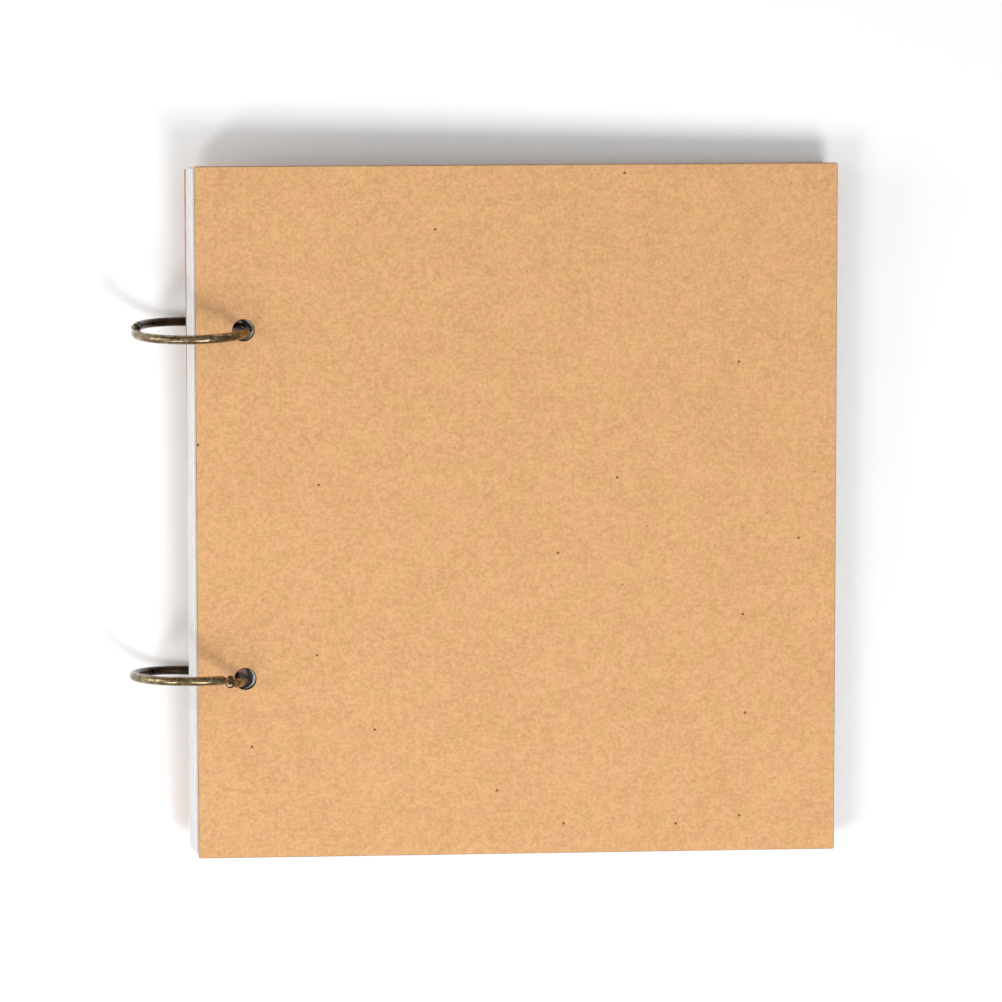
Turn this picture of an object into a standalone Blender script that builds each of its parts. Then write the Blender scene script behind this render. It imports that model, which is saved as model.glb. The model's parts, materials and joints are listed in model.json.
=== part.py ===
"""Loose-leaf scrapbook album: two kraft boards and card leaves on two hinged book rings.

Metres, +Z up. The closed album lies on its back cover with its spine towards -X. Both
rings stand upright on their lowest points and lift the spine, so the sheets slope down
to the fore edge. Every sheet turns about the line through the two rings' centres.

Sheets are placed in (u, v, w): u runs from that line to the fore edge, v along the
spine, and w out of the front cover.
"""

import math

import bmesh
import bpy
from mathutils import Euler, Matrix, Vector

# Sheets
COVER_WIDTH = 0.200
COVER_HEIGHT = 0.2163
COVER_THICKNESS = 0.0016
LEAF_COUNT = 13
LEAF_THICKNESS = 0.00035
LEAF_TRIM = 0.0010
SHEET_GAP = 0.00028
FRONT_FACE_W = 0.0018

# Punched holes
HOLE_DIAMETER = 0.0065
HOLE_SPACING = 0.109
HOLE_MARGIN = 0.0149
HOLE_RISE = 0.0029
HOLE_SIDES = 24

# Book rings
RING_INNER_DIAMETER = 0.03175
WIRE_DIAMETER = 0.0025
WIRE_SIDES = 12
ARC_STEPS = 30

# Hinge of a ring: two flat laps side by side on a rivet
LAP_THICKNESS = 0.0013
LAP_GAP = 0.0002
EYE_DIAMETER = 0.0030
EYE_SIDES = 16
LAP_REACH = 0.0023
PIN_DIAMETER = 0.0009
PIN_CLEARANCE = 0.0002
PIN_HEAD_DIAMETER = 0.0018
PIN_HEAD_HEIGHT = 0.00035
PIN_SIDES = 12

# Clasp of a ring: a flat tooth on the gate enters a slot in the fixed half
CLASP_GAP = 0.0003
TOOTH_LENGTH = 0.0011
TOOTH_THICKNESS = 0.0008
TOOTH_WIDTH = 0.0013
SLOT_CLEARANCE = 0.00025

# How each ring lies in its holes. The knuckle's angle runs from +X over +Z, and the
# gate leaves the knuckle towards larger angles where gate_turns is 1.
RINGS = {
    "upper_ring": {
        "side": 1,
        "shift": (0.0009, -0.0003),
        "lean": math.radians(3.0),
        "yaw": math.radians(0.5),
        "knuckle": math.radians(186.0),
        "gate_turns": -1,
    },
    "lower_ring": {
        "side": -1,
        "shift": (-0.0003, 0.0006),
        "lean": math.radians(-1.4),
        "yaw": math.radians(2.0),
        "knuckle": math.radians(41.0),
        "gate_turns": 1,
    },
}

WIRE_RADIUS = WIRE_DIAMETER / 2
RING_RADIUS = RING_INNER_DIAMETER / 2 + WIRE_RADIUS
AXIS_HEIGHT = RING_RADIUS + WIRE_RADIUS
LAP_OFFSET = (LAP_THICKNESS + LAP_GAP) / 2
SPLAY = math.asin(LAP_OFFSET / (2 * RING_RADIUS))

KRAFT = (0.64, 0.40, 0.20, 1.0)
CARD_WHITE = (0.86, 0.86, 0.84, 1.0)
OLD_BRONZE = (0.30, 0.21, 0.09, 1.0)


def clear_scene():
    for obj in list(bpy.data.objects):
        bpy.data.objects.remove(obj, do_unlink=True)


def make_material(name, color, roughness, metallic=0.0):
    material = bpy.data.materials.new(name)
    material.use_nodes = True
    shader = material.node_tree.nodes["Principled BSDF"]
    shader.inputs["Base Color"].default_value = color
    shader.inputs["Roughness"].default_value = roughness
    shader.inputs["Metallic"].default_value = metallic
    material.diffuse_color = color
    return material


def add_object(name, bm, material, parent, place=(0.0, 0.0, 0.0)):
    bmesh.ops.recalc_face_normals(bm, faces=bm.faces)
    mesh = bpy.data.meshes.new(name)
    bm.to_mesh(mesh)
    bm.free()
    obj = bpy.data.objects.new(name, mesh)
    obj.parent = parent
    obj.location = place
    if material:
        mesh.materials.append(material)
    bpy.context.scene.collection.objects.link(obj)
    return obj


def add_empty(name, matrix, parent=None):
    empty = bpy.data.objects.new(name, None)
    empty.empty_display_size = RING_RADIUS
    empty.parent = parent
    empty.matrix_basis = matrix
    bpy.context.scene.collection.objects.link(empty)
    return empty


def shade_round(obj):
    obj.data.shade_smooth()
    obj.data.set_sharp_from_angle(angle=math.radians(40))


# Sheets


def stack_of_sheets():
    """(name, thickness, width, height, middle w) of each sheet, from the front cover down."""
    sizes = [("front_cover", COVER_THICKNESS, COVER_WIDTH, COVER_HEIGHT)]
    for number in range(1, LEAF_COUNT + 1):
        leaf = (LEAF_THICKNESS, COVER_WIDTH - LEAF_TRIM, COVER_HEIGHT - 2 * LEAF_TRIM)
        sizes.append((f"leaf_{number:02d}", *leaf))
    sizes.append(("back_cover", COVER_THICKNESS, COVER_WIDTH, COVER_HEIGHT - 2 * LEAF_TRIM))
    sheets = []
    top = FRONT_FACE_W
    for name, thickness, width, height in sizes:
        sheets.append((name, thickness, width, height, top - thickness / 2))
        top -= thickness + SHEET_GAP
    return sheets


def hole_distance(middle_w):
    """How far along u a sheet's holes lie, so that the ring's wire passes through them."""
    return math.sqrt(RING_RADIUS**2 - middle_w**2)


def fore_edge_slope(back_cover):
    """The slope of the sheets when the back cover's fore edge and the rings touch the ground."""
    _, thickness, width, _, middle_w = back_cover
    reach = hole_distance(middle_w) - HOLE_MARGIN + width
    depth = thickness / 2 - middle_w
    return math.asin(AXIS_HEIGHT / math.hypot(reach, depth)) - math.atan2(depth, reach)


def circle(radius, sides, center=(0.0, 0.0)):
    steps = [2 * math.pi * (k + 0.5) / sides for k in range(sides)]
    return [(center[0] + radius * math.cos(a), center[1] + radius * math.sin(a)) for a in steps]


def add_sheet(sheet, material, parent):
    """A punched sheet, whose object's origin is on the line that it turns about."""
    name, thickness, width, height, middle_w = sheet
    hole_u = hole_distance(middle_w)
    spine_u = hole_u - HOLE_MARGIN
    low_v, high_v = -height / 2, height / 2
    corners = [
        (spine_u, low_v),
        (spine_u + width, low_v),
        (spine_u + width, high_v),
        (spine_u, high_v),
    ]
    holes = [
        circle(HOLE_DIAMETER / 2, HOLE_SIDES, (hole_u, HOLE_RISE + side * HOLE_SPACING / 2))
        for side in (1, -1)
    ]
    bm = bmesh.new()
    edges = []
    for outline in [corners, *holes]:
        verts = [bm.verts.new((u, v, middle_w - thickness / 2)) for u, v in outline]
        edges += [bm.edges.new(ends) for ends in zip(verts, verts[1:] + verts[:1])]
    bmesh.ops.triangle_fill(bm, use_beauty=True, edges=edges)
    raised = bmesh.ops.extrude_face_region(bm, geom=bm.faces[:])["geom"]
    upper = [item for item in raised if isinstance(item, bmesh.types.BMVert)]
    bmesh.ops.translate(bm, vec=(0, 0, thickness), verts=upper)
    return add_object(name, bm, material, parent)


# Rings. A half is modelled in its ring's own frame: the ring lies in the XZ plane round
# the origin, the knuckle is on +X, and the half arches through +Z to the clasp on -X.
# Its lap lies on the +Y side of the ring. Turned half round the X axis, it is the other half.


def sweep_along_ring(bm, profile, first, last, steps):
    """Sweeps (radial, y) points along the ring between two angles, with closed ends."""
    rings = []
    for k in range(steps + 1):
        angle = first + (last - first) * k / steps
        outward = Vector((math.cos(angle), 0, math.sin(angle)))
        rings.append(
            [bm.verts.new(outward * (RING_RADIUS + r) + Vector((0, y, 0))) for r, y in profile]
        )
    for near, far in zip(rings, rings[1:]):
        for k in range(len(profile)):
            following = (k + 1) % len(profile)
            bm.faces.new((near[k], near[following], far[following], far[k]))
    bm.faces.new(rings[0][::-1])
    bm.faces.new(rings[-1])


def turn_along_y(bm, stations, sides, center):
    """A closed turned shape along Y, round a point of the XZ plane, from (y, radius) stations."""
    rings = []
    for y, radius in stations:
        rings.append([bm.verts.new((x, y, z)) for x, z in circle(radius, sides, center)])
    for near, far in zip(rings, rings[1:]):
        for k in range(sides):
            following = (k + 1) % sides
            bm.faces.new((near[k], near[following], far[following], far[k]))
    bm.faces.new(rings[0][::-1])
    bm.faces.new(rings[-1])


def block(bm, center, size):
    matrix = Matrix.Translation(center) @ Matrix.Diagonal((*size, 1.0))
    bmesh.ops.create_cube(bm, size=1.0, matrix=matrix)


def combine(obj, operation, helper_name, helper_bm):
    """Joins a helper shape to the object, or cuts it from it, and leaves no helper behind."""
    helper = add_object(helper_name, helper_bm, None, obj.parent, obj.location)
    modifier = obj.modifiers.new(helper_name, "BOOLEAN")
    modifier.operation = operation
    modifier.object = helper
    bpy.context.view_layer.update()
    shape = bpy.data.meshes.new_from_object(
        obj.evaluated_get(bpy.context.evaluated_depsgraph_get())
    )
    shape.name = obj.name
    obj.modifiers.clear()
    obj.data = shape
    bpy.data.objects.remove(helper, do_unlink=True)


def half_ring_wire():
    """The round wire of a half, splayed so that it meets its lap at the knuckle."""
    bm = bmesh.new()
    lap_angle = LAP_REACH / RING_RADIUS
    end_angle = math.pi - CLASP_GAP / 2 / RING_RADIUS
    section = circle(WIRE_RADIUS, WIRE_SIDES)
    sweep_along_ring(bm, section, lap_angle, end_angle, ARC_STEPS)
    clasp = Matrix.Translation((-RING_RADIUS, 0, 0))
    splay = clasp @ Matrix.Rotation(SPLAY, 4, "Z") @ clasp.inverted()
    bmesh.ops.transform(bm, matrix=splay, verts=bm.verts)
    return bm


def half_ring_tongue():
    """The flat strip that runs from inside the wire's end to the middle of the eye."""
    bm = bmesh.new()
    low, high = LAP_OFFSET - LAP_THICKNESS / 2, LAP_OFFSET + LAP_THICKNESS / 2
    half_width = WIRE_RADIUS * 0.92
    section = [(-half_width, low), (half_width, low), (half_width, high), (-half_width, high)]
    inside_wire = 1.5 * LAP_REACH / RING_RADIUS
    sweep_along_ring(bm, section, 0.0, inside_wire, 4)
    return bm


def half_ring_eye():
    bm = bmesh.new()
    low, high = LAP_OFFSET - LAP_THICKNESS / 2, LAP_OFFSET + LAP_THICKNESS / 2
    radius = EYE_DIAMETER / 2
    turn_along_y(bm, [(low, radius), (high, radius)], EYE_SIDES, (RING_RADIUS, 0))
    return bm


def pin_hole():
    bm = bmesh.new()
    radius = PIN_DIAMETER / 2 + PIN_CLEARANCE
    reach = 2 * LAP_THICKNESS
    turn_along_y(bm, [(-reach, radius), (reach, radius)], PIN_SIDES, (RING_RADIUS, 0))
    return bm


def clasp_tooth():
    """Stands out of the gate's end, along the wire, into the fixed half's slot."""
    bm = bmesh.new()
    root = WIRE_RADIUS / 2
    length = TOOTH_LENGTH + root
    size = (TOOTH_WIDTH, TOOTH_THICKNESS, length)
    block(bm, (-RING_RADIUS, 0, CLASP_GAP / 2 + root - length / 2), size)
    return bm


def clasp_slot():
    """Open at the fixed half's end and on its inner and outer sides."""
    bm = bmesh.new()
    depth = TOOTH_LENGTH + SLOT_CLEARANCE
    size = (2 * WIRE_DIAMETER, TOOTH_THICKNESS + 2 * SLOT_CLEARANCE, 2 * depth)
    block(bm, (-RING_RADIUS, 0, 0), size)
    return bm


def add_half_ring(name, has_tooth, material, parent):
    half = add_object(name, half_ring_wire(), material, parent)
    combine(half, "UNION", "tongue", half_ring_tongue())
    combine(half, "UNION", "eye", half_ring_eye())
    combine(half, "DIFFERENCE", "pin_hole", pin_hole())
    if has_tooth:
        combine(half, "UNION", "tooth", clasp_tooth())
    else:
        combine(half, "DIFFERENCE", "slot", clasp_slot())
    shade_round(half)
    return half


def add_pin(name, material, parent):
    """A rivet across both laps, with a flat head outside each."""
    inner = LAP_OFFSET + LAP_THICKNESS / 2 + PIN_CLEARANCE
    outer = inner + PIN_HEAD_HEIGHT
    shaft, head = PIN_DIAMETER / 2, PIN_HEAD_DIAMETER / 2
    near_half = [(-outer, head), (-inner, head), (-inner, shaft)]
    far_half = [(-y, radius) for y, radius in reversed(near_half)]
    bm = bmesh.new()
    turn_along_y(bm, near_half + far_half, PIN_SIDES, (RING_RADIUS, 0))
    pin = add_object(name, bm, material, parent)
    shade_round(pin)
    return pin


def move_origin(obj, point):
    """Puts the object's origin at a point of its parent's frame, without moving its shape."""
    obj.data.transform(Matrix.Translation(-Vector(point)))
    obj.location = point


def add_ring(name, ring, material, album):
    """The ring's frame turns about its own Y axis, and the gate about the knuckle's Y axis."""
    shift_x, shift_y = ring["shift"]
    center = (shift_x, HOLE_RISE + ring["side"] * HOLE_SPACING / 2 + shift_y, AXIS_HEIGHT)
    stance = Euler((ring["lean"], 0, -ring["yaw"]), "XYZ").to_matrix().to_4x4()
    knuckle = Matrix.Rotation(-ring["knuckle"], 4, "Y")
    axis = add_empty(f"{name}_axis", Matrix.Translation(center) @ stance @ knuckle, album)
    turned = Matrix.Rotation(math.pi, 4, "X")
    fixed = add_half_ring(f"{name}_fixed_half", False, material, axis)
    gate = add_half_ring(f"{name}_gate", True, material, axis)
    (fixed if ring["gate_turns"] > 0 else gate).data.transform(turned)
    move_origin(gate, (RING_RADIUS, 0, 0))
    add_pin(f"{name}_pin", material, axis)


def stand_on_origin(album):
    """Moves the album so that the origin is at the middle of its box's base."""
    bpy.context.view_layer.update()
    points = [
        obj.matrix_world @ vert.co
        for obj in bpy.data.objects
        if obj.type == "MESH"
        for vert in obj.data.vertices
    ]
    low = [min(point[k] for point in points) for k in range(3)]
    high = [max(point[k] for point in points) for k in range(3)]
    album.location = (-(low[0] + high[0]) / 2, -(low[1] + high[1]) / 2, -low[2])


def build_album():
    clear_scene()
    album = add_empty("album", Matrix.Identity(4))
    kraft = make_material("kraft_board", KRAFT, roughness=0.85)
    card = make_material("white_card", CARD_WHITE, roughness=0.8)
    bronze = make_material("old_bronze", OLD_BRONZE, roughness=0.35, metallic=1.0)
    sheets = stack_of_sheets()
    slope = Matrix.Rotation(fore_edge_slope(sheets[-1]), 4, "Y")
    spine = add_empty("spine_axis", Matrix.Translation((0, 0, AXIS_HEIGHT)) @ slope, album)
    for sheet in sheets:
        add_sheet(sheet, kraft if sheet[0].endswith("cover") else card, spine)
    for name, ring in RINGS.items():
        add_ring(name, ring, bronze, album)
    stand_on_origin(album)


build_album()
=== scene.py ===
import json
import math
import random

import bmesh
import bpy
from mathutils import Euler, Matrix, Vector


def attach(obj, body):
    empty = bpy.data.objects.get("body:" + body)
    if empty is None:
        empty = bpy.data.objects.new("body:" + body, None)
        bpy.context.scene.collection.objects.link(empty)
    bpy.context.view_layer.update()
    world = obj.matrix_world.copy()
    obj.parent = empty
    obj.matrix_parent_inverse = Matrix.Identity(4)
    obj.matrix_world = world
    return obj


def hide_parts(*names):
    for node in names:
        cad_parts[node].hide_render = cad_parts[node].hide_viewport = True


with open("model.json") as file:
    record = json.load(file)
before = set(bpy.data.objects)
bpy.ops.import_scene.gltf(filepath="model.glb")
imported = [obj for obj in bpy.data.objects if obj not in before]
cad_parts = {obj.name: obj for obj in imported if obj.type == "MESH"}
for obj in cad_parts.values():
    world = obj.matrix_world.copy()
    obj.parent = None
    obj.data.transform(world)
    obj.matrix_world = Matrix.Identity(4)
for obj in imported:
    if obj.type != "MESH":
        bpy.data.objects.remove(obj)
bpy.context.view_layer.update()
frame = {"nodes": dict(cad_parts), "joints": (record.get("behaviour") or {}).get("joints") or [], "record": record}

MM = 0.001
# The attribute that carries the ring's painted shade on its inner side and its wear on the outer side.
OUTER_SHADE_AND_WEAR = "outer_shade_and_wear"

# Camera, at the viewing angle of the reference, nearly straight above the spine
CAMERA_PLACE = (-0.070743, 0.228695, 1.889108)
CAMERA_TURN = (-0.119594, -0.040660, -0.000768)
CAMERA_LENS = 217.76
SENSOR_WIDTH = 36.0

JOINTS = {joint["name"]: joint for joint in frame["joints"]}
MOUNTS = {mount["name"]: mount for mount in frame["record"]["mounts"]}
SPINE = Vector(JOINTS["front_cover_turn"]["pos_m"])
SHEET_NORMAL = Vector(MOUNTS["front_cover_face"]["axis"]).normalized()
SHEET_ACROSS = Vector((0, 1, 0)).cross(SHEET_NORMAL)
LEAF_NAMES = sorted(name for name in frame["nodes"] if name.startswith("leaf_"))


def matrix_from_axes(x, y, z, origin):
    matrix = Matrix((x, y, z)).transposed().to_4x4()
    matrix.translation = origin
    return matrix


SHEET_FRAME = matrix_from_axes(SHEET_ACROSS, Vector((0, 1, 0)), SHEET_NORMAL, SPINE)


# Materials


class Nodes:
    """A material's node tree, with short calls to add to it."""

    def __init__(self, name):
        self.material = bpy.data.materials.new(name)
        self.material.use_nodes = True
        self.tree = self.material.node_tree
        self.shader = self.tree.nodes["Principled BSDF"]
        self.coords = self.add("ShaderNodeTexCoord").outputs["Object"]

    def add(self, kind, **inputs):
        node = self.tree.nodes.new(kind)
        for key, value in inputs.items():
            self.put(node.inputs[key.replace("_", " ")], value)
        return node

    def put(self, socket, value):
        if isinstance(value, bpy.types.NodeSocket):
            self.tree.links.new(value, socket)
        else:
            socket.default_value = value

    def noise(self, scale, detail=2.0, roughness=0.5, coords=None, distortion=0.0):
        node = self.add("ShaderNodeTexNoise", Scale=scale, Detail=detail, Roughness=roughness)
        self.put(node.inputs["Distortion"], distortion)
        self.put(node.inputs["Vector"], coords or self.coords)
        return node.outputs["Fac"]

    def mapped(self, scale, turn=0.0, move=(0.0, 0.0, 0.0)):
        node = self.add("ShaderNodeMapping", Vector=self.coords)
        node.inputs["Scale"].default_value = scale
        node.inputs["Rotation"].default_value = (0.0, 0.0, turn)
        node.inputs["Location"].default_value = move
        return node.outputs["Vector"]

    def math(self, operation, first, second=0.0, clamp=False):
        node = self.add("ShaderNodeMath")
        node.operation = operation
        node.use_clamp = clamp
        self.put(node.inputs[0], first)
        self.put(node.inputs[1], second)
        return node.outputs["Value"]

    def ramp(self, value, low, high, to_low=0.0, to_high=1.0):
        node = self.add("ShaderNodeMapRange", Value=value)
        node.interpolation_type = "SMOOTHSTEP"
        keys = ("From Min", "From Max", "To Min", "To Max")
        for key, number in zip(keys, (low, high, to_low, to_high)):
            self.put(node.inputs[key], number)
        return node.outputs["Result"]

    def mix(self, factor, first, second):
        node = self.add("ShaderNodeMix")
        node.data_type = "RGBA"
        self.put(node.inputs[0], factor)
        self.put(node.inputs[6], first)
        self.put(node.inputs[7], second)
        return node.outputs[2]

    def bump(self, height, strength, distance):
        node = self.add("ShaderNodeBump", Height=height, Strength=strength, Distance=distance)
        self.put(self.shader.inputs["Normal"], node.outputs["Normal"])

    def set(self, **inputs):
        for key, value in inputs.items():
            self.put(self.shader.inputs[key.replace("_", " ")], value)


def fibres(nodes, length, width, turns):
    """Short strokes in several directions: the largest of one stretched noise per direction."""
    strongest = None
    for number, turn in enumerate(turns):
        shift = (3.1 * number, 1.7 * number, 0.0)
        coords = nodes.mapped((1 / length, 1 / width, 1 / width), turn, shift)
        layer = nodes.noise(1.0, detail=1.0, coords=coords, distortion=0.6)
        strongest = layer if strongest is None else nodes.math("MAXIMUM", strongest, layer)
    return strongest


def specks(nodes, spacing, radius, share):
    """Round specks: one possible in each cell of that spacing, and that share of the cells has one."""
    cells = nodes.add("ShaderNodeTexVoronoi")
    cells.voronoi_dimensions = "2D"
    nodes.put(cells.inputs["Vector"], nodes.coords)
    nodes.put(cells.inputs["Scale"], 1 / spacing)
    near = nodes.ramp(cells.outputs["Distance"], 0.4 * radius / spacing, radius / spacing, 1.0, 0.0)
    chance = nodes.add("ShaderNodeSeparateColor", Color=cells.outputs["Color"]).outputs["Red"]
    return nodes.math("MULTIPLY", near, nodes.math("LESS_THAN", chance, share))


def weighted(nodes, layers):
    """The sum of (value, low, high, weight) layers, each stretched from low..high to 0..1."""
    total = None
    for value, low, high, weight in layers:
        layer = nodes.math("MULTIPLY", nodes.ramp(value, low, high), weight)
        total = layer if total is None else nodes.math("ADD", total, layer)
    return total


def kraft_material():
    """Unbleached kraft paper on board: cloudy, mottled, with fibre flecks and dark specks."""
    nodes = Nodes("kraft_board_face")
    clouds = nodes.noise(45.0, detail=2.0)
    blotches = nodes.noise(150.0, detail=2.0)
    mottle = nodes.noise(430.0, detail=3.0, roughness=0.7)
    grain = nodes.noise(1000.0, detail=1.0, roughness=0.5)
    strokes = fibres(nodes, 2.4 * MM, 0.4 * MM, (0.2, 1.25, 2.3))
    tone = weighted(
        nodes,
        (
            (clouds, 0.3, 0.7, 0.10),
            (blotches, 0.3, 0.7, 0.14),
            (mottle, 0.34, 0.66, 0.40),
            (grain, 0.34, 0.66, 0.46),
            (strokes, 0.45, 0.72, 0.16),
        ),
    )
    hue = nodes.ramp(nodes.noise(120.0, detail=3.0, roughness=0.6), 0.36, 0.64)
    light = nodes.mix(hue, (0.722, 0.400, 0.192, 1.0), (0.710, 0.409, 0.181, 1.0))
    dark = nodes.mix(hue, (0.545, 0.284, 0.126, 1.0), (0.536, 0.291, 0.119, 1.0))
    color = nodes.mix(tone, dark, light)
    faint = nodes.math("MULTIPLY", specks(nodes, 7.5 * MM, 0.42 * MM, 0.06), 0.5)
    strong = nodes.math("MULTIPLY", specks(nodes, 19 * MM, 0.58 * MM, 0.15), 0.9)
    color = nodes.mix(faint, color, (0.24, 0.10, 0.035, 1.0))
    color = nodes.mix(strong, color, (0.10, 0.045, 0.02, 1.0))
    nodes.set(Base_Color=color, Roughness=nodes.ramp(mottle, 0.3, 0.7, 0.72, 0.86))
    nodes.set(Specular_IOR_Level=0.3)
    nodes.bump(weighted(nodes, ((strokes, 0.4, 0.8, 0.6), (grain, 0.3, 0.7, 0.4))), 0.25, 0.06 * MM)
    return nodes.material


def kraft_edge_material(name, dark, light, shine):
    """The cut edge of the board: pressed layers with torn fibres."""
    nodes = Nodes(name)
    layers = nodes.noise(1.0, detail=3.0, coords=nodes.mapped((160.0, 160.0, 4200.0)))
    grain = nodes.noise(1500.0, detail=3.0, roughness=0.7)
    tone = nodes.math("ADD", nodes.math("MULTIPLY", layers, 0.6), nodes.math("MULTIPLY", grain, 0.4))
    color = nodes.mix(nodes.ramp(tone, 0.3, 0.7), dark, light)
    nodes.set(Base_Color=color, Roughness=0.9, Specular_IOR_Level=shine)
    nodes.bump(tone, 0.5, 0.12 * MM)
    return nodes.material


def card_material():
    nodes = Nodes("white_card_fibre")
    mottle = nodes.noise(420.0, detail=3.0, roughness=0.6)
    strokes = fibres(nodes, 1.8 * MM, 0.3 * MM, (0.5, 1.6, 2.7))
    tone = nodes.math("ADD", nodes.math("MULTIPLY", mottle, 0.5), nodes.math("MULTIPLY", strokes, 0.5))
    color = nodes.mix(nodes.ramp(tone, 0.3, 0.75), (0.80, 0.80, 0.79, 1.0), (0.87, 0.87, 0.86, 1.0))
    nodes.set(Base_Color=color, Roughness=nodes.ramp(mottle, 0.3, 0.7, 0.55, 0.7))
    nodes.set(Specular_IOR_Level=0.35)
    nodes.bump(tone, 0.15, 0.04 * MM)
    return nodes.material


def card_edge_material():
    nodes = Nodes("white_card_cut_edge")
    streaks = nodes.noise(1.0, detail=2.0, coords=nodes.mapped((240.0, 240.0, 3000.0)))
    color = nodes.mix(nodes.ramp(streaks, 0.3, 0.7), (0.66, 0.67, 0.68, 1.0), (0.88, 0.88, 0.88, 1.0))
    nodes.set(Base_Color=color, Roughness=0.8, Specular_IOR_Level=0.3)
    nodes.bump(streaks, 0.3, 0.05 * MM)
    return nodes.material


def hole_wall_shade_material():
    """The wall of a punched hole in a leaf, painted near black as the shade deep inside the stack's holes."""
    nodes = Nodes("white_card_hole_wall_painted_shade")
    streaks = nodes.noise(1.0, detail=2.0, coords=nodes.mapped((400.0, 400.0, 3000.0)))
    tone = nodes.ramp(streaks, 0.3, 0.7)
    color = nodes.mix(tone, (0.004, 0.004, 0.004, 1.0), (0.012, 0.011, 0.010, 1.0))
    nodes.set(Base_Color=color, Roughness=0.9, Specular_IOR_Level=0.0)
    return nodes.material


def bronze_material():
    """Antique bronze plating: olive brown, with painted shade making the ring's inner side dark, and gold where it
    is worn on the outside.
    """
    nodes = Nodes("antique_bronze")
    patches = nodes.noise(260.0, detail=4.0, roughness=0.55)
    wear = nodes.noise(620.0, detail=3.0, roughness=0.6)
    scratches = nodes.noise(1.0, detail=3.0, coords=nodes.mapped((900.0, 3000.0, 900.0)))
    outer_shade_and_wear = nodes.add("ShaderNodeAttribute")
    outer_shade_and_wear.attribute_name = OUTER_SHADE_AND_WEAR
    outer = nodes.ramp(outer_shade_and_wear.outputs["Fac"], 0.25, 0.75)
    patchy = nodes.ramp(patches, 0.36, 0.64)
    brown = nodes.mix(patchy, (0.105, 0.070, 0.028, 1.0), (0.235, 0.168, 0.075, 1.0))
    # Painted shade: the ring's inner side is coloured near black, and the outer side olive brown.
    inner_painted_shade = nodes.mix(patchy, (0.022, 0.013, 0.008, 1.0), (0.058, 0.036, 0.020, 1.0))
    color = nodes.mix(outer, inner_painted_shade, brown)
    worn = nodes.math("MULTIPLY", nodes.ramp(wear, 0.46, 0.70), nodes.ramp(scratches, 0.36, 0.66))
    worn = nodes.math("MULTIPLY", nodes.math("MULTIPLY", worn, 0.8), outer)
    color = nodes.mix(worn, color, (0.66, 0.55, 0.33, 1.0))
    nodes.set(Base_Color=color, Metallic=1.0, Roughness=nodes.ramp(patches, 0.35, 0.65, 0.36, 0.24))
    nodes.set(Coat_Weight=0.5, Coat_Roughness=0.17)
    nodes.bump(nodes.math("ADD", patches, scratches), 0.22, 0.07 * MM)
    return nodes.material


# Pieces


def add_piece(name, bm, materials, matrix=Matrix.Identity(4)):
    bmesh.ops.recalc_face_normals(bm, faces=bm.faces)
    mesh = bpy.data.meshes.new(name)
    bm.to_mesh(mesh)
    bm.free()
    for material in materials:
        mesh.materials.append(material)
    obj = bpy.data.objects.new(name, mesh)
    obj.matrix_world = matrix
    bpy.context.scene.collection.objects.link(obj)
    return obj


def shade(obj, degrees):
    obj.data.shade_smooth()
    obj.data.set_sharp_from_angle(angle=math.radians(degrees))


def finish_piece(obj, node, body):
    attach(obj, body)
    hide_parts(node)


def rounded_rectangle(low, high, radius, inset, steps=5):
    """Points round a rectangle whose corners have that radius, moved in by inset."""
    points = []
    corners = [(high[0], high[1], 0), (low[0], high[1], 1), (low[0], low[1], 2), (high[0], low[1], 3)]
    for x, y, quarter in corners:
        side_x, side_y = (1, -1)[x == low[0]], (1, -1)[y == low[1]]
        center = (x - side_x * radius, y - side_y * radius)
        for k in range(steps):
            angle = (quarter + k / (steps - 1)) * math.pi / 2
            reach = max(radius - inset, 0.01 * MM)
            shift = radius - inset - reach
            points.append(
                (
                    center[0] + side_x * shift + reach * math.cos(angle),
                    center[1] + side_y * shift + reach * math.sin(angle),
                )
            )
    return points


def round_hole(center, radius, inset, sides=72):
    angles = [2 * math.pi * k / sides for k in range(sides)]
    reach = radius + inset
    return [(center[0] + reach * math.cos(a), center[1] + reach * math.sin(a)) for a in angles]


def sheet_measures(node):
    """The lowest and highest (u, v, w) of a CAD sheet, and its holes as (centre, radius)."""
    inverse = SHEET_FRAME.inverted()
    points = [inverse @ vert.co for vert in frame["nodes"][node].data.vertices]
    low = [min(p[k] for p in points) for k in range(3)]
    high = [max(p[k] for p in points) for k in range(3)]
    rim = [p for p in points if low[0] + 2 * MM < p[0] < high[0] - 2 * MM]
    holes = []
    for side in (1, -1):
        near = [p for p in rim if side * p[1] > 0]
        center = [(min(p[k] for p in near) + max(p[k] for p in near)) / 2 for k in range(2)]
        radius = max(math.hypot(p[0] - center[0], p[1] - center[1]) for p in near)
        holes.append((center, radius))
    return low, high, holes


# Each face is cut into a grid, to let it waver. The cuts lie a little off even steps.
SHEET_CUTS = 9
CUT_SHIFT = 0.13


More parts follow.
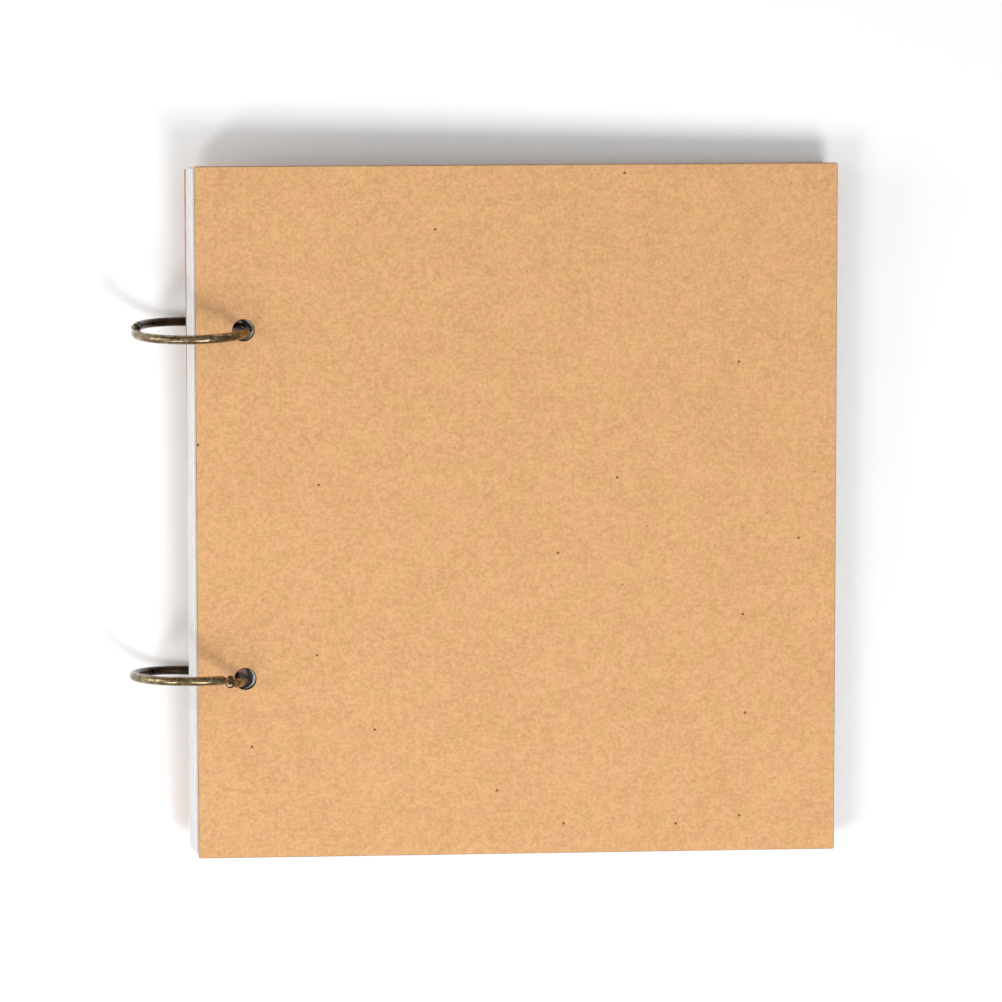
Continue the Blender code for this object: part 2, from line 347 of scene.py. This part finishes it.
def add_sheet(node, materials, bevel, corner, wave, shift, turn):
    """A punched sheet with softened edges, faces that waver by wave, and its own shift and turn."""
    low, high, holes = sheet_measures(node)
    bottom, top = low[2], high[2]
    stations = [
        (bevel, bottom),
        (0.3 * bevel, bottom + 0.3 * bevel),
        (0.0, bottom + bevel),
        (0.0, top - bevel),
        (0.3 * bevel, top - 0.3 * bevel),
        (bevel, top),
    ]
    bm = bmesh.new()
    rims = {bottom: [], top: []}
    for number in range(1 + len(holes)):
        loops = []
        for inset, w in stations:
            if number == 0:
                outline = rounded_rectangle(low, high, corner, inset)
            else:
                outline = round_hole(*holes[number - 1], inset)
            loops.append([bm.verts.new((u, v, w)) for u, v in outline])
        for lower, upper in zip(loops, loops[1:]):
            for k in range(len(lower)):
                following = (k + 1) % len(lower)
                face = bm.faces.new((lower[k], lower[following], upper[following], upper[k]))
                face.material_index = 1 if number == 0 else len(materials) - 1
        for w, loop in ((bottom, loops[0]), (top, loops[-1])):
            rims[w] += [bm.edges.get(ends) for ends in zip(loop, loop[1:] + loop[:1])]
    for edges in rims.values():
        bmesh.ops.triangle_fill(bm, use_beauty=True, edges=edges)
    for axis in (0, 1):
        normal = [0.0, 0.0, 0.0]
        normal[axis] = 1.0
        for k in range(1, SHEET_CUTS + 1):
            place = [0.0, 0.0, 0.0]
            share = (k + CUT_SHIFT) / (SHEET_CUTS + 1)
            place[axis] = low[axis] + (high[axis] - low[axis]) * share
            geometry = bm.verts[:] + bm.edges[:] + bm.faces[:]
            bmesh.ops.bisect_plane(bm, geom=geometry, plane_co=place, plane_no=normal)
    phase = [random.uniform(0, 2 * math.pi) for _ in range(3)]
    middle = Vector(((low[0] + high[0]) / 2, (low[1] + high[1]) / 2, 0))
    trim = Matrix.Translation((*shift, 0)) @ Matrix.Translation(middle) @ Matrix.Rotation(turn, 4, "Z")
    trim = trim @ Matrix.Translation(-middle)
    for vert in bm.verts:
        u, v = vert.co.x / 0.2, vert.co.y / 0.2
        ripple = math.sin(5.0 * u + 3.0 * v + phase[0]) + math.sin(6.5 * v - 2.0 * u + phase[1])
        vert.co.z += wave * (ripple + math.sin(9.0 * u + phase[2])) / 3
        vert.co = trim @ vert.co
    obj = add_piece(f"{node}_sheet", bm, materials, SHEET_FRAME)
    shade(obj, 20)
    return obj


# Rings. A half lies in the XZ plane round its ring's centre: the knuckle is on +X and the
# clasp on -X. Its lap is on the +Y side. Turned half round the X axis, it is the other half.

WIRE_RADIUS = 1.4 * MM
LAP_OFFSET = 0.75 * MM
LAP_HALF_THICKNESS = 0.65 * MM
EYE_RADIUS = 1.5 * MM
EYE_HOLE = 0.75 * MM
NECK_HALF_WIDTH = 1.12 * MM
LAP_END = 1.9 * MM
WIRE_START = 3.6 * MM
CLASP_GAP = 0.3 * MM
CHAMFER = 0.18 * MM
TOOTH_RISE = -0.4 * MM
TOOTH_SIZE = (1.3 * MM, 0.8 * MM, 1.7 * MM)
SLOT_SIZE = (4.8 * MM, 1.3 * MM, 2.7 * MM)
SHAFT_RADIUS = 0.45 * MM
HEAD_RADIUS = 0.95 * MM
HEAD_GAP = 0.12 * MM
HEAD_RIM = 0.12 * MM
HEAD_RISE = 0.38 * MM
SECTION_SIDES = 32


def smooth(value, low, high):
    share = min(max((value - low) / (high - low), 0.0), 1.0)
    return share * share * (3 - 2 * share)


def section(along, length):
    """(radial half width, half thickness, squareness) at that distance from the rivet."""
    wire = smooth(along, LAP_END, WIRE_START)
    width = EYE_RADIUS + (NECK_HALF_WIDTH - EYE_RADIUS) * smooth(along, 0.2 * MM, LAP_END)
    width += (WIRE_RADIUS - width) * wire
    if along < 0:
        width = math.sqrt(max(EYE_RADIUS**2 - along**2, (0.12 * MM) ** 2))
    thickness = LAP_HALF_THICKNESS + (WIRE_RADIUS - LAP_HALF_THICKNESS) * wire
    chamfer = max(0.0, CHAMFER - (length - along))
    return width - chamfer, thickness - chamfer, 6.0 - 4.0 * wire


def half_ring_mesh(radius):
    bm = bmesh.new()
    length = math.pi * radius - CLASP_GAP / 2
    eye = [-EYE_RADIUS * math.cos(math.pi / 2 * k / 9) for k in range(9)]
    lap = [WIRE_START * k / 24 for k in range(24)]
    wire_steps = 110
    wire = [WIRE_START + (length - CHAMFER - WIRE_START) * k / wire_steps for k in range(wire_steps + 1)]
    rings = []
    for along in [*eye, *lap, *wire, length - CHAMFER / 2, length]:
        angle = along / radius
        outward = Vector((math.cos(angle), 0, math.sin(angle)))
        center = outward * radius + Vector((0, LAP_OFFSET * (1 + math.cos(angle)) / 2, 0))
        width, thickness, power = section(along, length)
        ring = []
        for k in range(SECTION_SIDES):
            turn = 2 * math.pi * k / SECTION_SIDES
            across, out = math.cos(turn), math.sin(turn)
            scale = (abs(across) ** power + abs(out) ** power) ** (-1 / power)
            place = center + outward * (width * scale * out) + Vector((0, thickness * scale * across, 0))
            ring.append(bm.verts.new(place))
        rings.append(ring)
    for near, far in zip(rings, rings[1:]):
        for k in range(SECTION_SIDES):
            following = (k + 1) % SECTION_SIDES
            bm.faces.new((near[k], near[following], far[following], far[k]))
    bm.faces.new(rings[0][::-1])
    bm.faces.new(rings[-1])
    return bm


def turned_along_y(stations, sides, center_x):
    bm = bmesh.new()
    rings = []
    for y, radius in stations:
        ring = []
        for k in range(sides):
            angle = 2 * math.pi * k / sides
            ring.append(bm.verts.new((center_x + radius * math.cos(angle), y, radius * math.sin(angle))))
        rings.append(ring)
    for near, far in zip(rings, rings[1:]):
        for k in range(sides):
            following = (k + 1) % sides
            bm.faces.new((near[k], near[following], far[following], far[k]))
    bm.faces.new(rings[0][::-1])
    bm.faces.new(rings[-1])
    return bm


def rounded_block(center, size, radius):
    bm = bmesh.new()
    block = Matrix.Translation(center) @ Matrix.Diagonal((*size, 1.0))
    bmesh.ops.create_cube(bm, size=1.0, matrix=block)
    bmesh.ops.bevel(bm, geom=bm.edges[:], offset=radius, segments=2, profile=0.5, affect="EDGES")
    return bm


def combine(obj, operation, helper_bm):
    """Joins a helper shape to the object, or cuts it from it."""
    helper = add_piece("helper", helper_bm, [])
    modifier = obj.modifiers.new("combine", "BOOLEAN")
    modifier.operation = operation
    modifier.object = helper
    bpy.context.view_layer.update()
    graph = bpy.context.evaluated_depsgraph_get()
    shape = bpy.data.meshes.new_from_object(obj.evaluated_get(graph))
    obj.modifiers.clear()
    obj.data = shape
    bpy.data.objects.remove(helper, do_unlink=True)


def mark_outer_shade_and_wear(obj, radius, reach):
    """How far out each point is: 0 on the ring's inner side, and 1 that reach outside its middle. The bronze
    paints shade where it is low and puts wear only where it is high.
    """
    values = []
    for vert in obj.data.vertices:
        out = math.hypot(vert.co.x, vert.co.z) - radius
        values.append(min(max(0.5 + out / reach / 2, 0.0), 1.0))
    attribute = obj.data.attributes.new(OUTER_SHADE_AND_WEAR, "FLOAT", "POINT")
    attribute.data.foreach_set("value", values)


def add_half_ring(name, radius, is_gate, material):
    obj = add_piece(name, half_ring_mesh(radius), [material])
    reach = 2 * LAP_OFFSET + LAP_HALF_THICKNESS
    combine(obj, "DIFFERENCE", turned_along_y([(-reach, EYE_HOLE), (reach, EYE_HOLE)], 32, radius))
    if is_gate:
        combine(obj, "UNION", rounded_block((-radius, 0, TOOTH_RISE), TOOTH_SIZE, 0.12 * MM))
    else:
        combine(obj, "DIFFERENCE", rounded_block((-radius, 0, 0), SLOT_SIZE, 0.1 * MM))
    return obj


def rivet_mesh(radius):
    """A shaft across both laps with a low domed head at each end."""
    inner = LAP_OFFSET + LAP_HALF_THICKNESS + HEAD_GAP
    dome = inner + HEAD_RIM
    half = [(inner, SHAFT_RADIUS), (inner, HEAD_RADIUS - 0.1 * MM), (dome, HEAD_RADIUS)]
    for angle in (0.4, 0.75, 1.1, 1.4):
        half.append((dome + HEAD_RISE * math.sin(angle), HEAD_RADIUS * math.cos(angle)))
    return turned_along_y([(-y, r) for y, r in reversed(half)] + half, 28, radius)


def add_ring(name, is_turned_gate, move, yaw, material):
    """The pieces of one ring, in the stance that its joints give, nudged as it lies in its holes."""
    spin, gate = JOINTS[f"{name}_spin"], JOINTS[f"{name}_gate_open"]
    center, knuckle = Vector(spin["pos_m"]), Vector(gate["pos_m"])
    across = Vector(spin["axis"]).normalized() * (1 if is_turned_gate else -1)
    outward = (knuckle - center).normalized()
    radius = (knuckle - center).length
    stance = matrix_from_axes(outward, across, outward.cross(across), Vector((0, 0, 0)))
    nudge = Matrix.Rotation(yaw, 4, "Z")
    matrix = Matrix.Translation(center + Vector(move)) @ nudge @ stance
    turned = Matrix.Rotation(math.pi, 4, "X")
    fixed = add_half_ring(f"{name}_fixed_wire", radius, False, material)
    swing = add_half_ring(f"{name}_gate_wire", radius, True, material)
    rivet = add_piece(f"{name}_rivet", rivet_mesh(radius), [material])
    (swing if is_turned_gate else fixed).data.transform(turned)
    # Each piece's reach sets how widely the inner side's painted shade fades out. The rivet's wide reach leaves it
    # partly in painted shade.
    pieces = (
        (fixed, "_fixed_half", "", WIRE_RADIUS),
        (swing, "_gate", "_gate", WIRE_RADIUS),
        (rivet, "_pin", "", 4 * WIRE_RADIUS),
    )
    for obj, node, body, reach in pieces:
        mark_outer_shade_and_wear(obj, radius, reach)
        shade(obj, 35)
        obj.data.transform(matrix)
        finish_piece(obj, name + node, name + body)


# The album

random.seed(7)
# The board's cut edges: the kraft edge colour, darkened further as painted shade for the shaded rim along the
# spine.
KRAFT_CUT_EDGE_AND_SHADE = ((0.22, 0.13, 0.07, 1.0), (0.47, 0.30, 0.17, 1.0))
# The board's hole walls: painted near black as the shade inside the holes.
KRAFT_HOLE_WALL_SHADE = ((0.006, 0.004, 0.003, 1.0), (0.016, 0.010, 0.006, 1.0))
kraft_sides = [
    kraft_material(),
    kraft_edge_material("kraft_cut_edge_and_shade", *KRAFT_CUT_EDGE_AND_SHADE, 0.25),
    kraft_edge_material("kraft_hole_wall_painted_shade", *KRAFT_HOLE_WALL_SHADE, 0.0),
]
card_sides = [card_material(), card_edge_material(), hole_wall_shade_material()]
bronze = bronze_material()

COVER_SHAPE = {"bevel": 0.22 * MM, "corner": 0.5 * MM, "wave": 0.05 * MM}
LEAF_SHAPE = {"bevel": 0.06 * MM, "corner": 0.4 * MM, "wave": 0.09 * MM}
COVER_LIES = {"front_cover": ((0.0, 0.0), 0.0), "back_cover": ((0.3 * MM, 0.0), 0.24)}
for cover, (shift, turn) in COVER_LIES.items():
    board = add_sheet(cover, kraft_sides, **COVER_SHAPE, shift=shift, turn=math.radians(turn))
    finish_piece(board, cover, cover)
for number, leaf in enumerate(LEAF_NAMES):
    depth = number / len(LEAF_NAMES)
    across = random.uniform(-0.06, 0.06) * MM + (0.2 * depth - 0.6) * MM
    shift = (across, random.uniform(-0.05, 0.1) * MM)
    turn = math.radians(random.uniform(-0.06, 0.06))
    # The top leaf keeps white card edge on its hole wall; every other leaf gets the painted shade of the hole
    # wall.
    sides = card_sides[:2] if number == 0 else card_sides
    page = add_sheet(leaf, sides, **LEAF_SHAPE, shift=shift, turn=turn)
    finish_piece(page, leaf, leaf)
add_ring("upper_ring", True, (0.1 * MM, 0.15 * MM, 0.15 * MM), 0.0, bronze)
add_ring("lower_ring", False, (-0.1 * MM, 0.1 * MM, 0.15 * MM), math.radians(0.6), bronze)


# Floor, light and camera


def add_floor():
    bm = bmesh.new()
    bmesh.ops.create_grid(bm, x_segments=1, y_segments=1, size=3.0)
    nodes = Nodes("pale_floor_paint")
    nodes.set(Base_Color=(0.92, 0.92, 0.92, 1.0), Roughness=0.9, Specular_IOR_Level=0.2)
    add_piece("floor", bm, [nodes.material], Matrix.Translation((0, 0, -0.05 * MM)))


def add_area_light(name, place, size, power):
    light = bpy.data.lights.new(name, "AREA")
    light.shape = "RECTANGLE"
    light.size, light.size_y = size
    light.energy = power
    obj = bpy.data.objects.new(name, light)
    obj.location = place
    obj.rotation_euler = (-Vector(place)).to_track_quat("-Z", "Y").to_euler()
    bpy.context.scene.collection.objects.link(obj)


def add_camera():
    camera = bpy.data.cameras.new("camera")
    camera.lens = CAMERA_LENS
    camera.sensor_width = SENSOR_WIDTH
    camera.clip_end = 10.0
    obj = bpy.data.objects.new("camera", camera)
    obj.matrix_world = Matrix.Translation(CAMERA_PLACE) @ Euler(CAMERA_TURN, "XYZ").to_matrix().to_4x4()
    bpy.context.scene.collection.objects.link(obj)
    bpy.context.scene.camera = obj


def add_world(horizon, zenith):
    """A studio that is dim round the sides and bright above."""
    world = bpy.data.worlds.new("studio")
    world.use_nodes = True
    tree = world.node_tree
    background = tree.nodes["Background"]
    background.inputs["Color"].default_value = (1.0, 1.0, 1.0, 1.0)
    place = tree.nodes.new("ShaderNodeTexCoord")
    height = tree.nodes.new("ShaderNodeSeparateXYZ")
    rise = tree.nodes.new("ShaderNodeMapRange")
    rise.interpolation_type = "SMOOTHSTEP"
    for socket, value in zip(rise.inputs[1:5], (0.1, 0.9, horizon, zenith)):
        socket.default_value = value
    tree.links.new(place.outputs["Generated"], height.inputs["Vector"])
    tree.links.new(height.outputs["Z"], rise.inputs["Value"])
    tree.links.new(rise.outputs["Result"], background.inputs["Strength"])
    bpy.context.scene.world = world


add_floor()
add_world(0.15, 0.62)
add_area_light("right_softbox", (0.48, -0.74, 1.12), (0.36, 0.64), 9.8)
add_area_light("left_softbox", (-0.76, -0.68, 1.04), (0.32, 0.64), 6.5)
add_area_light("spine_fill", (-1.20, 0.10, 0.40), (0.9, 0.6), 7.5)
add_camera()
bpy.context.scene.view_settings.view_transform = "Standard"
